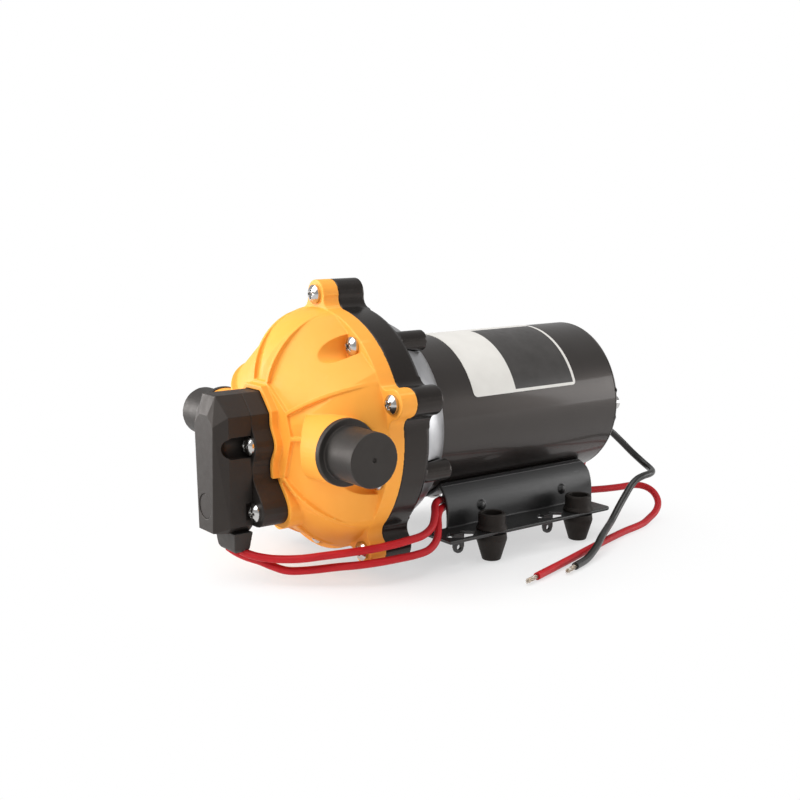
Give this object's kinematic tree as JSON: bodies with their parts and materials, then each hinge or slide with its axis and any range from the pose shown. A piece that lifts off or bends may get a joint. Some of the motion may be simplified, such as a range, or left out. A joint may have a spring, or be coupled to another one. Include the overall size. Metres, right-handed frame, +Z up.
{
  "type": "diaphragm water pump",
  "caption": "Multi-chamber diaphragm water pump: domed head with side ports, round motor, footed bracket and pressure switch.",
  "frame": {"origin": "on the floor, at the centre of the four foot screws", "axes": "+Z up, +Y back along the motor, +X to the right as seen from the switch end"},
  "size_m": [0.1552, 0.2451, 0.1299],
  "materials": {
    "housing_orange": "satin moulded",
    "drive_black": "semi-gloss moulded",
    "inner_plastic": "plain",
    "seal_rubber": "matt",
    "screw_steel": "bright plated",
    "bearing_steel": "ground",
    "cap_rubber": "matt moulded",
    "cast_alloy": "cast and turned",
    "can_paint": "gloss black paint",
    "core_steel": "plain",
    "copper": "plain",
    "carbon": "matt",
    "label_film": "satin film, two tones",
    "bracket_paint": "satin black coating",
    "foot_rubber": "matt",
    "switch_plastic": "fine texture",
    "lead_red": "satin",
    "lead_black": "satin",
    "strand_tin": "tinned"
  },
  "bodies": {
    "pump": {"front_housing": "housing_orange", "drive_housing": "drive_black", "valve_plate": "inner_plastic", "inlet_valves": "seal_rubber", "outlet_valve": "seal_rubber", "valve_seal": "seal_rubber", "diaphragm": "seal_rubber", "lug_screws": "screw_steel", "body_screws": "screw_steel", "motor_front_cover": "cast_alloy", "motor_can": "can_paint", "motor_rear_cover": "can_paint", "front_bearing_outer": "bearing_steel", "rear_bearing_outer": "bearing_steel", "magnets": "core_steel", "brush_plate": "inner_plastic", "brushes": "carbon", "brush_springs": "copper", "through_bolts": "screw_steel", "rating_label": "label_film", "lead_grommets": "seal_rubber", "base_bracket": "bracket_paint", "bracket_screws": "screw_steel", "foot_front_right": "foot_rubber", "foot_front_left": "foot_rubber", "foot_rear_right": "foot_rubber", "foot_rear_left": "foot_rubber", "switch_base": "switch_plastic", "switch_cover": "switch_plastic", "switch_diaphragm": "seal_rubber", "switch_spring": "screw_steel", "microswitch": "inner_plastic", "switch_screws": "screw_steel", "cable_boot": "cap_rubber", "supply_lead": "lead_red", "motor_lead": "lead_red", "negative_lead": "lead_black", "lead_strands": "strand_tin"},
    "rotor": {"motor_shaft": "bearing_steel", "armature_core": "core_steel", "armature_windings": "copper", "commutator": "copper", "skew_hub": "bearing_steel", "wobble_bearing_inner": "bearing_steel", "wobble_bearing_balls": "bearing_steel", "front_bearing_inner": "bearing_steel", "front_bearing_balls": "bearing_steel", "rear_bearing_inner": "bearing_steel", "rear_bearing_balls": "bearing_steel"},
    "wobbler": {"wobble_plate": "inner_plastic", "piston_retainers": "inner_plastic", "piston_screws": "screw_steel", "wobble_bearing_outer": "bearing_steel"},
    "plunger": {"switch_plunger": "inner_plastic"},
    "right_cap": {"right_port_cap": "cap_rubber"},
    "left_cap": {"left_port_cap": "cap_rubber"},
    "plug": {"switch_plug": "switch_plastic"},
    "adjuster": {"adjusting_screw": "screw_steel"}
  },
  "joints": [
    {"name": "rotor_spin", "type": "hinge", "parent": "pump", "child": "rotor", "pos_m": [0, -0.075, 0.063], "axis": [0, 1, 0], "continuous": true, "deforming": ["diaphragm"]},
    {"name": "wobble_nutate", "type": "hinge", "parent": "rotor", "child": "wobbler", "pos_m": [0, -0.075, 0.063], "axis": [0, 0.9986, 0.0523], "continuous": true, "deforming": ["diaphragm"]},
    {"name": "plunger_press", "type": "slide", "parent": "pump", "child": "plunger", "axis": [0, -1, 0], "range_m": [0, 0.0012], "stiffness_N_per_m": 2000, "springref_m": -0.001, "deforming": ["switch_spring", "switch_diaphragm"]},
    {"name": "right_cap_pull", "type": "slide", "parent": "pump", "child": "right_cap", "axis": [1, 0, 0], "range_m": [0, 0.04]},
    {"name": "left_cap_pull", "type": "slide", "parent": "pump", "child": "left_cap", "axis": [-1, 0, 0], "range_m": [0, 0.04]},
    {"name": "plug_pull", "type": "slide", "parent": "pump", "child": "plug", "axis": [0, -1, 0], "range_m": [0, 0.012]},
    {"name": "adjuster_turn", "type": "hinge", "parent": "pump", "child": "adjuster", "pos_m": [0, -0.145, 0.0355], "axis": [0, 1, 0], "range_deg": [-180, 180]}
  ],
  "couplings": [
    {"joint": "wobble_nutate", "follows": "rotor_spin", "ratio": -1}
  ]
}
